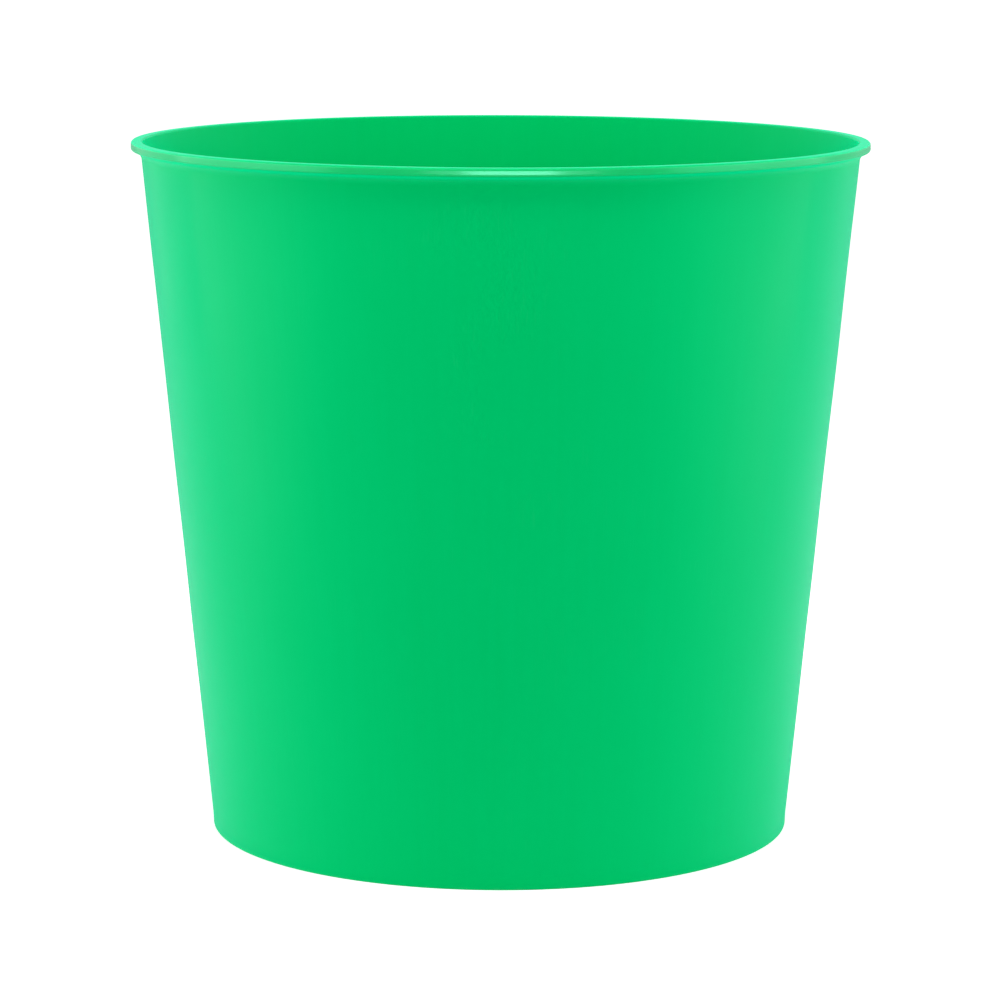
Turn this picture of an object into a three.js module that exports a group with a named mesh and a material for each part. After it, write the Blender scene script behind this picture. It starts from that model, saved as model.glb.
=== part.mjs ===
// Florist bucket: a tapered round pail in glossy polypropylene, open at the top.
// Units are millimetres and +Z is up. The origin is the centre of the circle it stands on.
//
// The real bucket is one injection moulding. It is held here as four solids of revolution
// that meet face to face on level planes, so that each stays simple and the inside stays open:
// foot_ring, floor_panel, side_wall and rim_bead.

import * as THREE from 'three';

// ---------------------------------------------------------------- driving dimensions

const HEIGHT = 236; // from the ground to the top of the rim
const RIM_RADIUS = 125; // outermost point of the rim bead
const BASE_RADIUS = 99.1; // where the straight wall would meet the ground
const TAPER = 0.0972; // growth of the wall's radius for each millimetre of height
const WALL = 1; // thickness of the wall, measured level

// Rim bead: an upright face with small rounds, over a sloping underside
const NOSE_ROUND = 0.6; // edge radius below the bead's outer face
const TOP_ROUND = 0.9; // edge radius above it
const NOSE_FACE = 2.7; // how far the outer face reaches below the top
const BEAD_ROOT = 4.2; // how far below the top the underside runs into the wall
const ROOT_ROUND = 3.0; // hollow radius between the underside and the wall
const LIP_ROUND = 0.8; // radius on the inner top edge
const RIM_SEAT = 230; // level where the side wall ends and the rim begins

// Foot ring: a short, nearly upright band below the floor
const FOOT_HEIGHT = 4.2;
const FOOT_RADIUS = 99.3; // outside, at the ground
const FOOT_WALL = 1.6; // thickness at the ground
const FOOT_DRAFT = 0.2; // how far the inside leans in over the ring's height
const HEEL_ROUND = 0.6; // radius on the outer ground edge
const TOE_ROUND = 0.3; // radius on the inner ground edge

// Floor: a flat disc with a raised centre, hollow underneath around the moulding gate
const FLOOR_THICKNESS = 1.4;
const CENTRE_RISE = 0.6; // height of the raised centre, and depth of the well below it
const CENTRE_RADIUS = 9; // foot of the raised centre, inside the bucket
const WELL_RADIUS = 7; // mouth of the well, under the bucket
const CENTRE_SLOPE = 1.2; // level run of the slopes round the raised centre and the well
const GATE_RADIUS = 1.2; // stub left where the plastic ran in
const GATE_LENGTH = 0.4;
const COVE = 2.6; // hollow radius where the wall meets the floor, inside

const SIDES = 72; // flats round each solid of revolution
const ROUND_STEPS = 3; // flats in each rounded edge
const COVE_STEPS = 3; // flats in the cove

// ---------------------------------------------------------------- levels and radii

const outerRadius = (z) => BASE_RADIUS + TAPER * z;
const innerRadius = (z) => outerRadius(z) - WALL;

const FLOOR_TOP = FOOT_HEIGHT + FLOOR_THICKNESS;
const COVE_TOP = FLOOR_TOP + COVE;
const COVE_FOOT = innerRadius(COVE_TOP) - COVE; // radius where the open floor begins

// ---------------------------------------------------------------- outlines

// An outline is a closed list of corners [radius, level, round]. Where round is given,
// the corner becomes an arc of that radius, tangent to the two straight edges beside it.
function roundedOutline(corners) {
  const points = [];
  corners.forEach(([radius, level, round = 0], i) => {
    const corner = new THREE.Vector2(radius, level);
    if (round === 0) {
      points.push(corner);
      return;
    }
    const [rBefore, zBefore] = corners.at(i - 1);
    const [rAfter, zAfter] = corners[(i + 1) % corners.length];
    const back = new THREE.Vector2(rBefore, zBefore).sub(corner).normalize();
    const ahead = new THREE.Vector2(rAfter, zAfter).sub(corner).normalize();
    points.push(...cornerArc(corner, back, ahead, round));
  });
  return points;
}

// The arc that rounds one corner; back and ahead are unit vectors along its two edges.
function cornerArc(corner, back, ahead, round) {
  const half = Math.acos(THREE.MathUtils.clamp(back.dot(ahead), -1, 1)) / 2;
  const toCentre = back.clone().add(ahead).normalize();
  const centre = corner.clone().addScaledVector(toCentre, round / Math.sin(half));
  const start = corner.clone().addScaledVector(back, round / Math.tan(half)).sub(centre);
  const end = corner.clone().addScaledVector(ahead, round / Math.tan(half)).sub(centre);
  const turn = Math.atan2(start.cross(end), start.dot(end));
  const arc = [];
  for (let i = 0; i <= ROUND_STEPS; i++) {
    const point = start.clone().rotateAround(new THREE.Vector2(), (turn * i) / ROUND_STEPS);
    arc.push(point.add(centre));
  }
  return arc;
}

// ---------------------------------------------------------------- solids of revolution

const greenPolypropylene = new THREE.MeshStandardMaterial({
  color: new THREE.Color().setRGB(0, 0.74, 0.39, THREE.SRGBColorSpace),
  roughness: 0.25,
  metalness: 0,
});

// Turns an outline about the Z axis. An outline that touches the axis is left open there.
function turned(name, outline, touchesAxis = false) {
  const profile = touchesAxis ? outline : [...outline, outline[0]];
  const geometry = new THREE.LatheGeometry(profile, SIDES);
  geometry.rotateX(Math.PI / 2);
  const mesh = new THREE.Mesh(geometry, greenPolypropylene);
  mesh.name = name;
  return mesh;
}

function footRing() {
  const innerBottom = FOOT_RADIUS - FOOT_WALL;
  return turned('foot_ring', roundedOutline([
    [FOOT_RADIUS, 0, HEEL_ROUND],
    [outerRadius(FOOT_HEIGHT), FOOT_HEIGHT],
    [innerBottom - FOOT_DRAFT, FOOT_HEIGHT],
    [innerBottom, 0, TOE_ROUND],
  ]));
}

function floorPanel() {
  const wellTop = FOOT_HEIGHT + CENTRE_RISE;
  const gateEnd = wellTop - GATE_LENGTH;
  return turned('floor_panel', roundedOutline([
    [0, gateEnd],
    [GATE_RADIUS, gateEnd],
    [GATE_RADIUS, wellTop],
    [WELL_RADIUS - CENTRE_SLOPE, wellTop],
    [WELL_RADIUS, FOOT_HEIGHT],
    [outerRadius(FOOT_HEIGHT), FOOT_HEIGHT],
    [outerRadius(FLOOR_TOP), FLOOR_TOP],
    [COVE_FOOT, FLOOR_TOP],
    [CENTRE_RADIUS, FLOOR_TOP],
    [CENTRE_RADIUS - CENTRE_SLOPE, FLOOR_TOP + CENTRE_RISE],
    [0, FLOOR_TOP + CENTRE_RISE],
  ]), true);
}

function sideWall() {
  const cove = [];
  for (let i = 0; i <= COVE_STEPS; i++) {
    const angle = (Math.PI / 2) * (i / COVE_STEPS);
    cove.push([COVE_FOOT + COVE * Math.cos(angle), COVE_TOP - COVE * Math.sin(angle)]);
  }
  return turned('side_wall', roundedOutline([
    [outerRadius(FLOOR_TOP), FLOOR_TOP],
    [outerRadius(RIM_SEAT), RIM_SEAT],
    [innerRadius(RIM_SEAT), RIM_SEAT],
    ...cove,
  ]));
}

function rimBead() {
  const root = HEIGHT - BEAD_ROOT;
  return turned('rim_bead', roundedOutline([
    [outerRadius(RIM_SEAT), RIM_SEAT],
    [outerRadius(root), root, ROOT_ROUND],
    [RIM_RADIUS, HEIGHT - NOSE_FACE, NOSE_ROUND],
    [RIM_RADIUS, HEIGHT, TOP_ROUND],
    [innerRadius(HEIGHT), HEIGHT, LIP_ROUND],
    [innerRadius(RIM_SEAT), RIM_SEAT],
  ]));
}

// ---------------------------------------------------------------- the bucket

const bucket = new THREE.Group();
bucket.add(footRing());
bucket.add(floorPanel());
bucket.add(sideWall());
bucket.add(rimBead());

export default bucket;
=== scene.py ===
# %% [markdown]
# # A green florist's bucket
#
# A florist's bucket is one piece of polypropylene, made in one shot in a steel mould: a thin
# tapered wall, a floor set up inside a low foot ring, and a small bead round the mouth that
# keeps the edge round and gives the fingers something to hold. There is no handle, no lid and
# no seam. So the whole lesson is about one clean shell and one good plastic.
#
# The size and the place of everything come from the frame, which holds the bucket as four
# plain solids of revolution. The first cell loads it.

# %% Load the frame
import math

import bmesh
import bpy
from mathutils import Matrix, Vector


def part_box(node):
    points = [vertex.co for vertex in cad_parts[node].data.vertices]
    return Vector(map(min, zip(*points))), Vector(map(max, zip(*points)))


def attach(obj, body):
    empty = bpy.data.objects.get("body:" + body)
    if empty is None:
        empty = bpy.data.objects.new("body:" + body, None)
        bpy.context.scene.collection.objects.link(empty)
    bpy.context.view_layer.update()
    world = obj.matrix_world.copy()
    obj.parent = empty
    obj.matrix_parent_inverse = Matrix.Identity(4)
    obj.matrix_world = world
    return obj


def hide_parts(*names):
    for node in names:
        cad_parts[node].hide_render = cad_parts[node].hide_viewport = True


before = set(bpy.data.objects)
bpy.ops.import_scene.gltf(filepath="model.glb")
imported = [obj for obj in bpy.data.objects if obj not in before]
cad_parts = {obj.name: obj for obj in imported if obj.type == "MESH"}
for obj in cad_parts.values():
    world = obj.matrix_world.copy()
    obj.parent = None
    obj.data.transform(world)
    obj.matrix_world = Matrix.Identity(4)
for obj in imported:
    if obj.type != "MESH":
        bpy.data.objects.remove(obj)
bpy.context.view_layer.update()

# %% [markdown]
# ## Sizes
#
# A moulder's drawing gives a bucket in millimetres, so this script does too, and turns them
# into Blender's metres with one factor. The big sizes are read off the frame's solids. The
# small ones, which only decide how edges feel in the hand, are named here.

# %% Sizes from the frame, in millimetres
MM = 0.001


def top_and_radius(node):
    """The lowest level, the highest level and the outer radius of one solid of the frame."""
    low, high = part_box(node)
    return low.z / MM, high.z / MM, high.x / MM


_, foot_height, foot_top_radius = top_and_radius("foot_ring")
_, centre_top, _ = top_and_radius("floor_panel")
floor_top, rim_seat, wall_top_radius = top_and_radius("side_wall")
_, height, rim_radius = top_and_radius("rim_bead")
taper = (wall_top_radius - foot_top_radius) / (rim_seat - foot_height)
print(f"height {height:.1f}, mouth radius {rim_radius:.1f}, foot radius {foot_top_radius:.1f}")
print(f"the wall leans out {taper:.4f} for each millimetre of height")

# %% Small sizes, in millimetres
WALL = 1.0
FOOT_WALL = 1.6
FOOT_RADIUS = 99.3
FOOT_DRAFT = 0.2
BEAD_FACE = 2.7  # how far the bead's outer face reaches below the top
BEAD_ROOT = 4.2  # how far below the top the bead runs into the wall
PARTING = 2.1  # how far below the top the two halves of the mould meet
FLASH = 0.04  # how far the fine line between them stands out
TOP_ROUND = 0.9  # radius on the outer top edge
LIP_ROUND = 0.8  # radius on the inner top edge
GATE_RADIUS = 1.2
GATE_LENGTH = 0.4
WELL_RADIUS = 7.0
CENTRE_RADIUS = 9.0
CENTRE_SLOPE = 1.2


def outside(level):
    """Radius of the wall's outer face at a level."""
    return foot_top_radius + taper * (level - foot_height)


def inside(level):
    """Radius of the wall's inner face at a level."""
    return outside(level) - WALL


# %% [markdown]
# ## Helpers for working by hand
#
# Everything below is done the way a person does it in edit mode: something is picked, then an
# operator acts on it. A script has no mouse, so it picks by place: every ring of this bucket
# is known by its radius and its level.

# %% Pick things by their place
SAME = 0.01  # millimetres within which two places count as one


def on_ring(vertex, radius, level):
    """Whether a vertex lies on the ring of that radius and level."""
    off_radius = abs(vertex.co.xy.length / MM - radius)
    off_level = abs(vertex.co.z / MM - level)
    return off_radius < SAME and off_level < SAME


def pick_edges(wanted):
    """Select the edges for which wanted(edge) is true, and nothing else. Returns how many."""
    bpy.ops.mesh.select_mode(type="EDGE")
    bpy.ops.mesh.select_all(action="DESELECT")
    mesh = bpy.context.object.data
    work = bmesh.from_edit_mesh(mesh)
    picked = [edge for edge in work.edges if wanted(edge)]
    for edge in picked:
        edge.select_set(True)
    work.select_flush_mode()
    bmesh.update_edit_mesh(mesh)
    return len(picked)


def pick_faces(wanted):
    """Select the faces for which wanted(radius, level, normal) is true. Returns how many."""
    bpy.ops.mesh.select_mode(type="FACE")
    bpy.ops.mesh.select_all(action="DESELECT")
    mesh = bpy.context.object.data
    work = bmesh.from_edit_mesh(mesh)
    picked = []
    for face in work.faces:
        centre = face.calc_center_median()
        if wanted(centre.xy.length / MM, centre.z / MM, face.normal):
            picked.append(face)
    for face in picked:
        face.select_set(True)
    bmesh.update_edit_mesh(mesh)
    return len(picked)


# %% [markdown]
# ## Pull the shell out of one disc
#
# A round vessel could be drawn as half an outline and spun, or made as a cone with a thickness
# added. Spinning hides the order of the steps, and an even thickness can't give the solid bead
# or the foot ring. Here one small disc is extruded ring by ring along the whole section: out
# under the floor, down and round the foot, up the outside, over the bead, down the inside and
# in across the floor. The shell comes out closed, with its two end discs on the axis.
#
# Each station is a radius, a level, and how round its edge will be.

# %% The stations of the section
well_top = foot_height + (centre_top - floor_top)
foot_inside = FOOT_RADIUS - FOOT_WALL
bead_root = height - BEAD_ROOT

stations = [
    (GATE_RADIUS, well_top - GATE_LENGTH, 0.15),
    (GATE_RADIUS, well_top, 0.1),
    (WELL_RADIUS - CENTRE_SLOPE, well_top, 0.6),
    (WELL_RADIUS, foot_height, 0.4),
    (foot_inside - FOOT_DRAFT, foot_height, 0.8),
    (foot_inside, 0.0, 0.3),
    (FOOT_RADIUS, 0.0, 0.6),
    (foot_top_radius, foot_height, 14.0),
    (outside(bead_root), bead_root, 3.0),
    (rim_radius, height - BEAD_FACE, 0.6),
    (rim_radius, height - PARTING - 2 * FLASH, 0.05),
    (rim_radius + FLASH, height - PARTING, 0.03),
    (rim_radius, height - PARTING + 2 * FLASH, 0.05),
    (rim_radius, height, TOP_ROUND),
    (inside(height), height, LIP_ROUND),
    (inside(floor_top), floor_top, 2.6),
    (CENTRE_RADIUS, floor_top, 0.6),
    (CENTRE_RADIUS - CENTRE_SLOPE, centre_top, 0.6),
]

# %% Extrude the disc from station to station
AROUND = 256  # vertices in each ring


def pull_to(radius, level):
    """Extrude the selected disc, lift it to a level and scale it to a radius."""
    work = bmesh.from_edit_mesh(bpy.context.object.data)
    on_disc = next(vertex for vertex in work.verts if vertex.select)
    lift = level * MM - on_disc.co.z
    growth = radius * MM / on_disc.co.xy.length
    bpy.ops.mesh.extrude_region_move(TRANSFORM_OT_translate={"value": (0, 0, lift)})
    bpy.ops.transform.resize(value=(growth, growth, 1))


bpy.ops.object.select_all(action="DESELECT")
first_radius, first_level, _ = stations[0]
bpy.ops.mesh.primitive_circle_add(
    vertices=AROUND,
    radius=first_radius * MM,
    fill_type="NGON",
    location=(0, 0, first_level * MM),
)
bucket = bpy.context.object
bucket.name = "bucket_moulding"
bpy.ops.object.transform_apply(location=True, rotation=True, scale=True)
bpy.ops.object.mode_set(mode="EDIT")
bpy.ops.mesh.select_mode(type="FACE")
bpy.ops.mesh.select_all(action="SELECT")
for radius, level, _ in stations[1:]:
    pull_to(radius, level)
print("faces after pulling:", len(bmesh.from_edit_mesh(bucket.data).faces))

# %% [markdown]
# ## Round the edges
#
# No edge of a moulding is sharp: plastic won't fill one, and steel won't cut one. Each station
# gets the radius that stands beside it. A bevel wants to know how far to cut back from the
# edge, which is the round's radius times the tangent of half the turn that the outline makes.

# %% Bevel the ring at each station
ROUND_STEPS = 6


def cut_back(before, corner, after, round_radius):
    """How far a round of that radius reaches along the two edges beside a corner."""
    way_in = Vector(corner) - Vector(before)
    way_out = Vector(after) - Vector(corner)
    return round_radius * math.tan(way_in.angle(way_out) / 2)


axis_start = (0.0, stations[0][1], 0.0)
axis_end = (0.0, stations[-1][1], 0.0)
outline = [axis_start, *stations, axis_end]
for before, corner, after in zip(outline, outline[1:], outline[2:]):
    reach = cut_back(before[:2], corner[:2], after[:2], corner[2])
    pick_edges(lambda edge: all(on_ring(v, corner[0], corner[1]) for v in edge.verts))
    bpy.ops.mesh.bevel(
        offset=reach * MM,
        offset_type="OFFSET",
        segments=ROUND_STEPS,
        profile=0.5,
        affect="EDGES",
        clamp_overlap=False,
    )
print("faces after rounding:", len(bmesh.from_edit_mesh(bucket.data).faces))

# %% [markdown]
# ## Give the wall rings to work with
#
# The two faces of the wall are still single bands from foot to rim. Their upright edges are
# cut into short lengths, so that the next step has something to move. Subdividing only the
# upright edges leaves the rings as they are.

# %% Divide the upright edges
WALL_CUTS = 47
LONG = 100.0  # an edge longer than this, in millimetres, can only be an upright of the wall


def is_upright(edge):
    """Whether an edge runs the height of the wall."""
    return edge.calc_length() / MM > LONG


uprights = pick_edges(is_upright)
bpy.ops.mesh.subdivide(number_cuts=WALL_CUTS, smoothness=0)
print("uprights divided:", uprights)
bpy.ops.mesh.select_all(action="SELECT")
bpy.ops.mesh.normals_make_consistent(inside=False)
bpy.ops.object.mode_set(mode="OBJECT")

# %% [markdown]
# ## Let the wall waver
#
# A wall one millimetre thick is never quite true. It shrinks unevenly as it cools, and the
# result, a tenth or two of a millimetre, is too little to see in the outline but plain in the
# reflections, which bend and break into soft patches. That is real shape, so it is put in the
# mesh. A Displace modifier with a cloud pattern pushes the outer face, and a second one with
# the same clouds pulls the inner face by as much, because both faces of a wall move together.
# The weights fade to nothing at the foot and the bead, which are stiff and stay round.

# %% Waver weights and modifiers
WAVER = 0.6  # full range of the movement, in millimetres
WAVER_SIZE = 65.0  # size of the soft patches, in millimetres
FADE = 30.0  # height over which the movement dies out, in millimetres


def waver_weight(level):
    """0 at the foot and the bead, rising smoothly to 1 on the open wall."""
    nearest_end = min(level - foot_height, bead_root - level)
    share = min(max(nearest_end / FADE, 0.0), 1.0)
    return share * share * (3 - 2 * share)


def group_face(name, is_outer):
    """A vertex group with the waver weights of the wall's outer or inner face."""
    group = bucket.vertex_groups.new(name=name)
    for vertex in bucket.data.vertices:
        radius, level = vertex.co.xy.length / MM, vertex.co.z / MM
        on_wall = abs(radius - (outside(level) if is_outer else inside(level))) < WALL / 2
        weight = waver_weight(level) if on_wall else 0.0
        if weight > 0:
            group.add([vertex.index], weight, "REPLACE")
    return group


clouds = bpy.data.textures.new("cooling_waver", type="CLOUDS")
clouds.noise_scale = WAVER_SIZE * MM
clouds.noise_depth = 1
for name, is_outer in (("outer_face", True), ("inner_face", False)):
    group_face(name, is_outer)
    push = bucket.modifiers.new(name=name, type="DISPLACE")
    push.texture = clouds
    push.texture_coords = "LOCAL"
    push.direction = "NORMAL"
    push.mid_level = 0.5
    push.strength = WAVER * MM if is_outer else -WAVER * MM
    push.vertex_group = name
bpy.context.view_layer.objects.active = bucket
for name in ("outer_face", "inner_face"):
    bpy.ops.object.modifier_apply(modifier=name)
print("bucket vertices:", len(bucket.data.vertices))

# %% [markdown]
# ## Shade flats as flats
#
# Smooth shading blends the directions of neighbouring faces, so a flat between two small
# rounds would be shaded as if it bulged, and a reflection in it would shrink to a thread. Extra
# holding rings beside each round would cure that. The Weighted Normal modifier does it with no
# extra faces: at each edge the large face decides the direction, and the small ones give way.

# %% Smooth, with the large faces in charge
SHARP = 35  # degrees of turn from which an edge stays sharp
LARGE_COUNTS = 80  # above 50, large faces count more
bpy.ops.object.shade_smooth_by_angle(angle=math.radians(SHARP))
weigh = bucket.modifiers.new(name="flats_stay_flat", type="WEIGHTED_NORMAL")
weigh.mode = "FACE_AREA"
weigh.weight = LARGE_COUNTS
weigh.keep_sharp = True
bpy.ops.object.modifier_apply(modifier=weigh.name)

# %% [markdown]
# ## Four finishes of one plastic
#
# The bucket is one shot of green polypropylene, yet it has four finishes, because plastic
# copies the steel it cools against. The cavity outside is polished. The core inside is only
# stoned, so the plastic shrinks off it satin. The groove that forms the bead's nose is polished
# best. The underside is eroded by spark and left matt. Each finish is a material in its own
# slot, and each face gets the one that its place asks for. The limits are wide enough to catch
# the faces that the waver has moved.

# %% Name the slots and give every face its finish
FINISHES = ("polished_wall", "satin_inside", "polished_rim", "matt_underside")
MARGIN = 1.0  # millimetres between a limit and the level or radius it is set from
TOE_BAND = 0.3  # millimetres past the foot's inner edge that are still underside
NOSE_TILT = 0.4  # z of the normal, up or down, from which a face isn't the nose
FACES_DOWN = -0.9  # a face whose normal has its z below this looks down
for name in FINISHES:
    bucket.data.materials.append(bpy.data.materials.new(name))


def in_the_hollow(radius, level, normal):
    """Whether a face is part of the inside, from the floor up to the lip."""
    below_the_lip = floor_top - MARGIN < level < height - LIP_ROUND
    return below_the_lip and radius < inside(level) + WALL / 2


def on_the_nose(radius, level, normal):
    """Whether a face is on the bead's nose, the part that looks outward."""
    outermost = level > bead_root and radius > rim_radius - MARGIN
    return outermost and abs(normal.z) < NOSE_TILT


def under_the_floor(radius, level, normal):
    """Whether a face is in the recess under the floor, or on the ring that stands."""
    in_the_recess = radius < foot_inside + TOE_BAND
    return level < floor_top - MARGIN and (in_the_recess or normal.z < FACES_DOWN)


bpy.ops.object.mode_set(mode="EDIT")
for slot, belongs in enumerate((in_the_hollow, on_the_nose, under_the_floor), start=1):
    count = pick_faces(belongs)
    bucket.active_material_index = slot
    bpy.ops.object.material_slot_assign()
    print(f"{FINISHES[slot]}: {count} faces")
bpy.ops.object.mode_set(mode="OBJECT")

# %% [markdown]
# ## A few words for nodes
#
# A material is a small graph, and drawing one in code takes many lines for each node. These
# helpers say the same in one: add a node and feed its sockets, do a sum, or open a new group.
# A group is an effect that several materials share, with its own values in each.

# %% Node helpers


def add(tree, kind, settings=None, **feeds):
    """Add a node, set its options, and feed its sockets with links or plain values."""
    node = tree.nodes.new("ShaderNode" + kind)
    for option, value in (settings or {}).items():
        setattr(node, option, value)
    for socket_name, source in feeds.items():
        feed(tree, node.inputs[socket_name.replace("_", " ")], source)
    return node


def feed(tree, socket, source):
    """Link a socket to another node's output, or set its value."""
    if isinstance(source, bpy.types.NodeSocket):
        tree.links.new(source, socket)
    else:
        socket.default_value = source


def sums(tree, operation, *terms):
    """One Math node: the operation on its terms, as an output socket."""
    node = tree.nodes.new("ShaderNodeMath")
    node.operation = operation
    for socket, term in zip(node.inputs, terms):
        feed(tree, socket, term)
    return node.outputs[0]


def vectors(tree, operation, *terms):
    """One Vector Math node: the operation on its terms, as an output socket."""
    node = tree.nodes.new("ShaderNodeVectorMath")
    node.operation = operation
    for socket, term in zip(node.inputs, terms):
        feed(tree, socket, term)
    return node.outputs[0]


def noise(tree, place, scale, detail=2.0, roughness=0.5):
    """A noise pattern at a place, from 0 to 1, as an output socket."""
    settings = {"noise_dimensions": "3D"}
    node = add(tree, "TexNoise", settings, Vector=place, Scale=scale, Detail=detail)
    node.inputs["Roughness"].default_value = roughness
    return node.outputs["Fac"]


def steps(tree, value, low, high):
    """A smooth step: 0 below low, 1 above high, as an output socket."""
    settings = {"interpolation_type": "SMOOTHSTEP"}
    node = add(tree, "MapRange", settings, Value=value)
    node.inputs["From Min"].default_value = low
    node.inputs["From Max"].default_value = high
    return node.outputs["Result"]


def open_group(name, inputs, outputs):
    """A new node group with named sockets. Returns the group, its inputs and its outputs."""
    group = bpy.data.node_groups.new(name, "ShaderNodeTree")
    for in_out, sockets in (("INPUT", inputs), ("OUTPUT", outputs)):
        for socket_name, kind in sockets.items():
            socket_type = "NodeSocket" + kind
            group.interface.new_socket(name=socket_name, in_out=in_out, socket_type=socket_type)
    start = group.nodes.new("NodeGroupInput")
    end = group.nodes.new("NodeGroupOutput")
    return group, start.outputs, end.inputs


def place_group(tree, group, **values):
    """Place a group in a material with its own values, and return its outputs."""
    node = tree.nodes.new("ShaderNodeGroup")
    node.node_tree = group
    for socket_name, value in values.items():
        feed(tree, node.inputs[socket_name.replace("_", " ")], value)
    return node.outputs


# %% [markdown]
# ## The way the plastic flowed
#
# The melt enters at the middle of the floor, runs out in all directions and climbs the wall.
# What it carries, such as pigment that isn't quite mixed, is drawn into streaks that run out
# from the gate and up the wall. Plain noise has no direction. So this group makes a place that
# does: the direction from the axis, without the distance, and only a little of the height.
# Noise looked up there is the same all along a flow line, and changes from one to the next.

# %% Group: flow lines
flow_group, start, end = open_group("flow_lines", {"Place": "Vector"}, {"Flow": "Vector"})
WRAP = wall_top_radius * MM  # turns a direction back into a length round the wall
CLIMB = 0.06  # how much of the height counts, so that a streak is long but not endless
flat = vectors(flow_group, "MULTIPLY", start["Place"], (1, 1, 0))
heading = vectors(flow_group, "NORMALIZE", flat)
round_the_wall = vectors(flow_group, "MULTIPLY", heading, (WRAP, WRAP, 0))
up_the_wall = vectors(flow_group, "MULTIPLY", start["Place"], (CLIMB, CLIMB, CLIMB))
flow = vectors(flow_group, "ADD", round_the_wall, up_the_wall)
flow_group.links.new(flow, end["Flow"])

# %% [markdown]
# ## Pigment
#
# The colour of a moulding comes from a few per cent of coloured granules mixed into clear
# ones. It is even, but not perfectly: broad clouds are a touch lighter or darker, and the
# streaks of the flow show a hair's breadth apart. Drift says by how much.

# %% Group: pigment
STREAKS = 320.0  # flow streaks for each metre round the wall
CLOUDS = 14.0  # broad patches for each metre
HUE_SHARE = 0.08  # how far the hue moves with the lightness
EVEN = 0.5  # the middle of a noise, and of the hue socket
pigment_group, start, end = open_group(
    "pigment",
    {"Place": "Vector", "Flow": "Vector", "Colour": "Color", "Drift": "Float"},
    {"Colour": "Color"},
)
tree = pigment_group
streaked = sums(tree, "SUBTRACT", noise(tree, start["Flow"], STREAKS, detail=3.0), EVEN)
clouded = sums(tree, "SUBTRACT", noise(tree, start["Place"], CLOUDS, detail=1.0), EVEN)
drift = sums(tree, "MULTIPLY", sums(tree, "ADD", streaked, clouded), start["Drift"])
shade = add(tree, "HueSaturation", Color=start["Colour"], Value=sums(tree, "ADD", drift, 1.0))
feed(tree, shade.inputs["Hue"], sums(tree, "MULTIPLY_ADD", drift, HUE_SHARE, EVEN))
tree.links.new(shade.outputs["Color"], end["Colour"])

# %% [markdown]
# ## Skin
#
# Close up, a glossy moulding is not a mirror. It has a faint orange peel, fine lines along the
# flow, and patches where the plastic left the steel sooner or later and so came out duller or
# brighter. Peel and Lines are heights in millimetres. Gloss is the mean roughness and Patches
# is how far it strays.

# %% Group: skin
PEEL_GRAIN = 420.0  # bumps of the orange peel for each metre
PATCH_GRAIN = 26.0  # dull and bright patches for each metre
PATCH_SQUASH = 0.35  # less than 1 makes the patches taller than wide
STREAK_SHARE = 0.5  # how much the flow streaks count beside the patches
SMOOTHEST = 0.05  # roughness below which no moulding goes
skin_group, start, end = open_group(
    "skin",
    {
        "Place": "Vector",
        "Flow": "Vector",
        "Peel": "Float",
        "Lines": "Float",
        "Gloss": "Float",
        "Patches": "Float",
    },
    {"Height": "Float", "Roughness": "Float"},
)
tree = skin_group
peel = sums(tree, "MULTIPLY", noise(tree, start["Place"], PEEL_GRAIN), start["Peel"])
lines = sums(tree, "MULTIPLY", noise(tree, start["Flow"], STREAKS), start["Lines"])
tree.links.new(sums(tree, "ADD", peel, lines), end["Height"])
tall_place = vectors(tree, "MULTIPLY", start["Place"], (1, 1, PATCH_SQUASH))
patches = noise(tree, tall_place, PATCH_GRAIN, detail=4.0, roughness=0.6)
patch = sums(tree, "SUBTRACT", patches, EVEN)
streaks = noise(tree, start["Flow"], STREAKS, detail=4.0, roughness=0.7)
streak = sums(tree, "SUBTRACT", streaks, EVEN)
uneven = sums(tree, "MULTIPLY_ADD", streak, STREAK_SHARE, patch)
roughness = sums(tree, "MULTIPLY_ADD", uneven, start["Patches"], start["Gloss"])
tree.links.new(sums(tree, "MAXIMUM", roughness, SMOOTHEST), end["Roughness"])

# %% [markdown]
# ## Rubbing
#
# Even a new bucket has been stacked and slid. Where it is rubbed, polypropylene goes a little
# pale and dull. The mask of this group is strongest at one level, such as the ground, fades
# over a reach on both sides, and is broken into short touches by noise, so that the wear looks
# handled and not painted on.

# %% Group: rubbed band
TOUCHES = 260.0  # touches of wear for each metre round the edge
TOUCH_FROM = 0.45  # noise at which a touch begins
TOUCH_FULL = 0.7  # noise at which it is full
rub_group, start, end = open_group(
    "rubbed_band",
    {"Place": "Vector", "Level": "Float", "Reach": "Float", "Amount": "Float"},
    {"Mask": "Float"},
)
tree = rub_group
split = add(tree, "SeparateXYZ", Vector=start["Place"])
away = sums(tree, "ABSOLUTE", sums(tree, "SUBTRACT", split.outputs["Z"], start["Level"]))
near = sums(tree, "SUBTRACT", 1.0, sums(tree, "DIVIDE", away, start["Reach"]))
near = sums(tree, "MAXIMUM", near, 0.0)
touches = noise(tree, start["Place"], TOUCHES, detail=5.0, roughness=0.65)
touch = steps(tree, touches, TOUCH_FROM, TOUCH_FULL)
mask = sums(tree, "MULTIPLY", sums(tree, "MULTIPLY", near, touch), start["Amount"])
tree.links.new(mask, end["Mask"])

# %% [markdown]
# ## Hairlines
#
# Buckets are sold nested in tall stacks. Pulling one out of the next draws hairlines up and
# down both faces of the wall. They are a fifth of a millimetre wide, and show only where
# light glances off. The pattern is fine noise along the flow, cut so that only its peaks are
# left, and broken up by a second noise.

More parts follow.
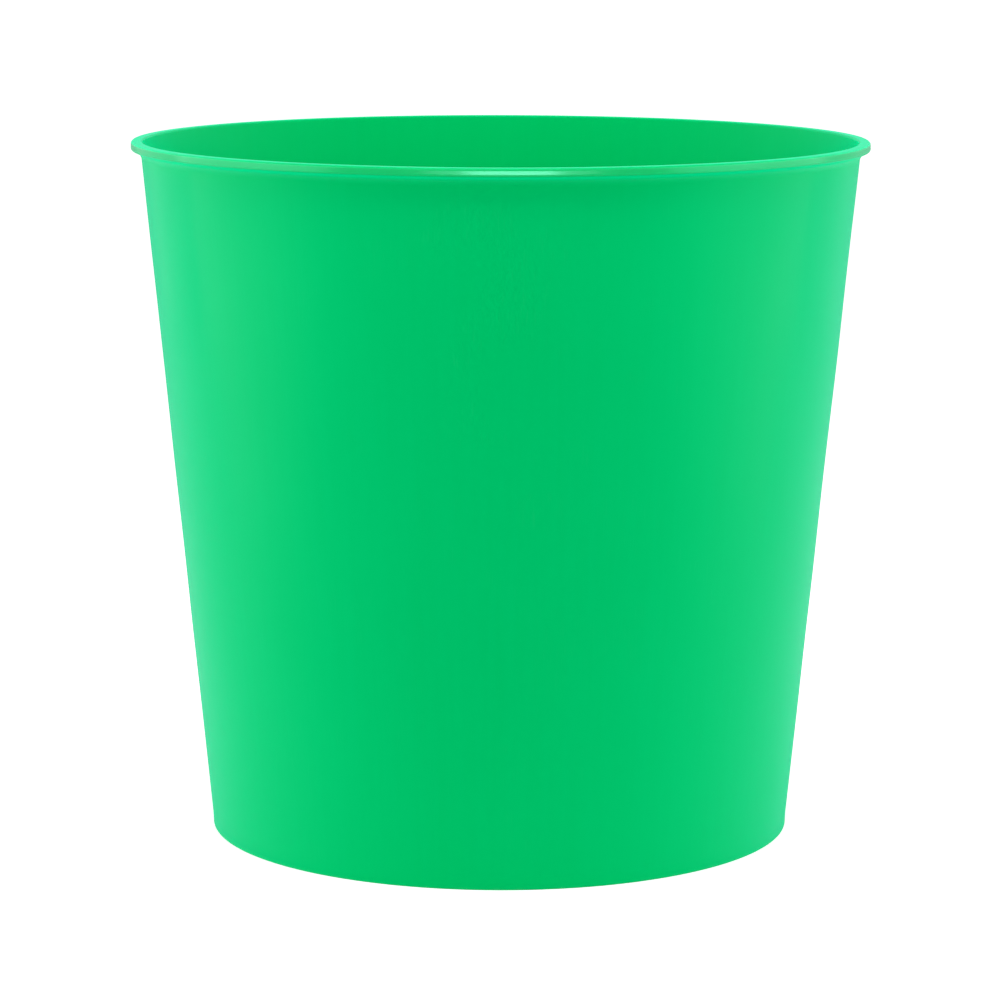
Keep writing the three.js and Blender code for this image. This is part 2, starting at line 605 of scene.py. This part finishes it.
# %% Group: hairlines
HAIRS = 2600.0  # hairline places for each metre round the wall
HAIR_FROM = 0.66  # noise at which a hairline begins
HAIR_FULL = 0.74  # noise at which it is full
BREAKS = 45.0  # places for each metre where the hairlines come and go
BREAK_FROM = 0.5  # noise at which they begin to show
BREAK_FULL = 0.62  # noise at which they show in full
hair_group, start, end = open_group(
    "hairlines",
    {"Place": "Vector", "Flow": "Vector", "Amount": "Float"},
    {"Mask": "Float"},
)
tree = hair_group
hair = steps(tree, noise(tree, start["Flow"], HAIRS, detail=0.0), HAIR_FROM, HAIR_FULL)
broken = steps(tree, noise(tree, start["Place"], BREAKS, detail=2.0), BREAK_FROM, BREAK_FULL)
mask = sums(tree, "MULTIPLY", sums(tree, "MULTIPLY", hair, broken), start["Amount"])
tree.links.new(mask, end["Mask"])

# %% [markdown]
# ## Mix the finishes
#
# All four are the same recipe, so one function mixes them, and what differs is written at each
# call. The pigment is a purer green than a screen can show, and what the plastic reflects looks
# mint beside it, never grey. A plain plastic's bright gloss would lose its tint at the edges of
# the outline, because the shader takes it away at a glancing angle. So shine, the weight of the
# gloss, is kept low, and the mint glow that spreads toward the edges comes from the shader's
# Sheen, which keeps its tint. Sheen is meant for cloth, and stands in here for a colour that the
# screen lacks. Only the nose of the bead has the full gloss, for its highlight. Values that are
# the same all over go straight onto the shader.

# %% Green polypropylene in four finishes
GREEN = (0.0, 0.48, 0.105, 1)
MINT = (0.0, 1.0, 0.5, 1)
WHITER_MINT = (0.3, 0.95, 0.75, 1)
SHEEN_SPREAD = 0.65  # roughness of the sheen
DRIFT = 0.04  # how far the colour strays
WORN_DULL = 0.3  # roughness that wear adds
WORN_DEPTH = 0.001  # millimetres that wear takes away
PLASTIC_IOR = 1.5
RUBBED_GREEN = (0.08, 0.6, 0.26, 1)


def green_plastic(
    name, shine, tint, sheen, gloss, patches, peel, lines, rub_level, rub_reach, rub, hairs
):
    """Fill one material of the bucket with the plastic in one finish."""
    material = bpy.data.materials[name]
    material.use_nodes = True
    tree = material.node_tree
    surface = tree.nodes["Principled BSDF"]
    place = tree.nodes.new("ShaderNodeTexCoord").outputs["Object"]
    flow = place_group(tree, flow_group, Place=place)["Flow"]
    values = {"Place": place, "Flow": flow, "Colour": GREEN, "Drift": DRIFT}
    pigment = place_group(tree, pigment_group, **values)["Colour"]
    values = {"Place": place, "Flow": flow, "Peel": peel, "Lines": lines}
    values.update({"Gloss": gloss, "Patches": patches})
    skin = place_group(tree, skin_group, **values)
    values = {"Place": place, "Level": rub_level * MM, "Reach": rub_reach * MM, "Amount": rub}
    rubbed = place_group(tree, rub_group, **values)["Mask"]
    hairline = place_group(tree, hair_group, Place=place, Flow=flow, Amount=hairs)["Mask"]
    worn = sums(tree, "MAXIMUM", rubbed, hairline)

    colour = add(tree, "Mix", {"data_type": "RGBA"})
    feed(tree, colour.inputs["Factor"], worn)
    feed(tree, colour.inputs["A"], pigment)
    feed(tree, colour.inputs["B"], RUBBED_GREEN)
    feed(tree, surface.inputs["Base Color"], colour.outputs["Result"])
    dulled = sums(tree, "MULTIPLY_ADD", worn, WORN_DULL, skin["Roughness"])
    feed(tree, surface.inputs["Roughness"], dulled)
    height = sums(tree, "MULTIPLY_ADD", worn, -WORN_DEPTH, skin["Height"])
    bump = add(tree, "Bump", Height=height, Distance=MM, Strength=1.0)
    feed(tree, surface.inputs["Normal"], bump.outputs["Normal"])

    surface.inputs["IOR"].default_value = PLASTIC_IOR
    surface.inputs["Specular IOR Level"].default_value = shine
    surface.inputs["Specular Tint"].default_value = tint
    surface.inputs["Sheen Weight"].default_value = sheen
    surface.inputs["Sheen Roughness"].default_value = SHEEN_SPREAD
    surface.inputs["Sheen Tint"].default_value = MINT
    print(name, "nodes:", len(tree.nodes))


green_plastic(
    "polished_wall",
    shine=0.12,
    tint=MINT,
    sheen=1.0,
    gloss=0.2,
    patches=0.16,
    peel=0.004,
    lines=0.002,
    rub_level=0.0,
    rub_reach=1.2,
    rub=0.25,
    hairs=0.03,
)
green_plastic(
    "satin_inside",
    shine=0.12,
    tint=MINT,
    sheen=0.7,
    gloss=0.36,
    patches=0.14,
    peel=0.006,
    lines=0.002,
    rub_level=floor_top,
    rub_reach=2.0,
    rub=0.12,
    hairs=0.03,
)
green_plastic(
    "polished_rim",
    shine=1.0,
    tint=WHITER_MINT,
    sheen=0.5,
    gloss=0.17,
    patches=0.06,
    peel=0.002,
    lines=0.0,
    rub_level=height,
    rub_reach=1.0,
    rub=0.1,
    hairs=0.0,
)
green_plastic(
    "matt_underside",
    shine=0.12,
    tint=MINT,
    sheen=0.2,
    gloss=0.55,
    patches=0.1,
    peel=0.02,
    lines=0.002,
    rub_level=0.0,
    rub_reach=0.8,
    rub=0.9,
    hairs=0.0,
)

# %% [markdown]
# ## Tie the bucket to the frame
#
# The skin rides on the one body there is. It stands for all four solids of the frame, which
# stay behind as what the bucket weighs and touches with.

# %% Tie the bucket to the frame
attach(bucket, "root")
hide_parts("foot_ring", "floor_panel", "side_wall", "rim_bead")

# %% [markdown]
# ## A pale floor in a white room
#
# The bucket stands on a plain white table that runs back as far as the eye can see, in a room
# that is white all round. Such a floor is lit on its own in a studio, until it shows as white.
# Here the same is done with a little glow that only the camera sees, so it lends no extra
# light to the bucket. The room does the same.

# %% Floor and room
FLOOR_REACH = 12.0  # metres
FLOOR_AROUND = 128  # vertices round its edge
FLOOR_PAINT = 0.82
FLOOR_DULL = 0.8  # its roughness
FLOOR_GLOW = 0.65
ROOM_LIGHT = 0.58

bpy.ops.object.select_all(action="DESELECT")
bpy.ops.mesh.primitive_circle_add(
    vertices=FLOOR_AROUND,
    radius=FLOOR_REACH,
    fill_type="NGON",
    location=(0, 0, 0),
)
floor = bpy.context.object
floor.name = "studio_floor"
paint = bpy.data.materials.new("white_floor")
paint.use_nodes = True
tree = paint.node_tree
surface = tree.nodes["Principled BSDF"]
surface.inputs["Base Color"].default_value = (FLOOR_PAINT, FLOOR_PAINT, FLOOR_PAINT, 1)
surface.inputs["Roughness"].default_value = FLOOR_DULL
surface.inputs["Specular IOR Level"].default_value = 0.0
surface.inputs["Emission Color"].default_value = (1, 1, 1, 1)
seen = tree.nodes.new("ShaderNodeLightPath").outputs["Is Camera Ray"]
feed(tree, surface.inputs["Emission Strength"], sums(tree, "MULTIPLY", seen, FLOOR_GLOW))
floor.data.materials.append(paint)

world = bpy.data.worlds.new("white_room")
bpy.context.scene.world = world
world.use_nodes = True
tree = world.node_tree
backdrop = tree.nodes["Background"]
backdrop.inputs["Color"].default_value = (1, 1, 1, 1)
seen = tree.nodes.new("ShaderNodeLightPath").outputs["Is Camera Ray"]
strength = sums(tree, "MULTIPLY_ADD", seen, 1.0 - ROOM_LIGHT, ROOM_LIGHT)
feed(tree, backdrop.inputs["Strength"], strength)
bpy.context.scene.view_settings.view_transform = "Standard"

# %% [markdown]
# ## Soft light
#
# Gloss is only as good as what it reflects. A large soft box at each side, with a narrower one
# nearer the front, gives the tall sheens on the wall. Two more stand further back, for the edges
# of the outline, and two small ones near the floor lift the lower corners. A narrow one over
# the mouth lights the inside. Two low strips in front are for the upright nose of the bead,
# which looks straight at them. Every box is given its radiance, so that a bigger box is a softer
# one and not a brighter one. The boxes themselves stay out of sight.

# %% Soft boxes


def soft_box(name, place, aim, width, tall, radiance):
    """A rectangular light at a place in metres, turned to face an aim."""
    bpy.ops.object.light_add(type="AREA", location=place)
    box = bpy.context.object
    box.name = name
    box.rotation_euler = (Vector(place) - Vector(aim)).to_track_quat("Z", "Y").to_euler()
    box.data.shape = "RECTANGLE"
    box.data.size = width
    box.data.size_y = tall
    box.data.energy = math.pi * width * tall * radiance
    box.visible_camera = False
    return box


def round_about(azimuth, elevation, distance, level):
    """A place that far from the bucket's axis. Azimuth 0 is the front, and 90 the right."""
    turn, lift = math.radians(azimuth), math.radians(elevation)
    out = distance * math.cos(lift)
    return (out * math.sin(turn), -out * math.cos(turn), level + distance * math.sin(lift))


MIDDLE = 0.14  # level that the boxes round the bucket face, in metres
MOUTH_SPREAD = 110  # degrees within which the box over the mouth shines

# Name, azimuth, elevation, distance, width, height and radiance of each box round the bucket.
ROUND_BOXES = (
    ("left_box", -80, 14, 0.75, 0.9, 0.7, 1.0),
    ("right_box", 80, 14, 0.75, 0.9, 0.7, 0.9),
    ("left_near_box", -68, 12, 0.8, 0.35, 0.6, 0.35),
    ("right_near_box", 68, 12, 0.8, 0.35, 0.6, 0.3),
    ("left_edge_box", -125, 14, 0.9, 0.7, 0.7, 0.3),
    ("right_edge_box", 125, 14, 0.9, 0.7, 0.7, 0.15),
)
for name, azimuth, elevation, distance, width, tall, radiance in ROUND_BOXES:
    place = round_about(azimuth, elevation, distance, MIDDLE)
    soft_box(name, place, (0, 0, MIDDLE), width, tall, radiance)
soft_box("left_low_box", (-0.42, -0.1, 0.07), (0, 0, 0.03), 0.3, 0.12, 0.6)
soft_box("right_low_box", (0.42, -0.1, 0.07), (0, 0, 0.03), 0.3, 0.12, 0.5)
mouth_box = soft_box("mouth_box", (0, -0.16, 0.52), (0, 0.08, 0.2), 0.24, 0.2, 2.75)
mouth_box.data.spread = math.radians(MOUTH_SPREAD)
soft_box("rim_strip", (0.128, -2.2, 0.11), (0.128, 0, 0.11), 1.05, 0.22, 8.0)
soft_box("rim_strip_wide", (0.15, -2.21, 0.11), (0.15, 0, 0.11), 2.1, 0.22, 2.0)

# %% [markdown]
# ## Camera
#
# A long lens from between five and six bucket heights away, looking slightly down into the
# mouth. The distances are given in rim radii, so that the view stays the same if the bucket
# grows.

# %% Camera
R = rim_radius * MM
BACK = 10.705  # rim radii in front of the bucket's axis
UP = 2.6597  # rim radii above the floor
PITCH = 0.16333  # radians below level
ROLL = 0.0021  # radians
LENS = 141.8  # millimetres
SENSOR = 36  # millimetres
FARTHEST = 100  # metres
bpy.ops.object.camera_add()
camera = bpy.context.object
camera.location = (0, -BACK * R, UP * R)
aim = Matrix.Rotation(math.radians(90) - PITCH, 4, "X") @ Matrix.Rotation(ROLL, 4, "Z")
camera.rotation_euler = aim.to_euler()
camera.data.sensor_width = SENSOR
camera.data.lens = LENS
camera.data.clip_end = FARTHEST
bpy.context.scene.camera = camera
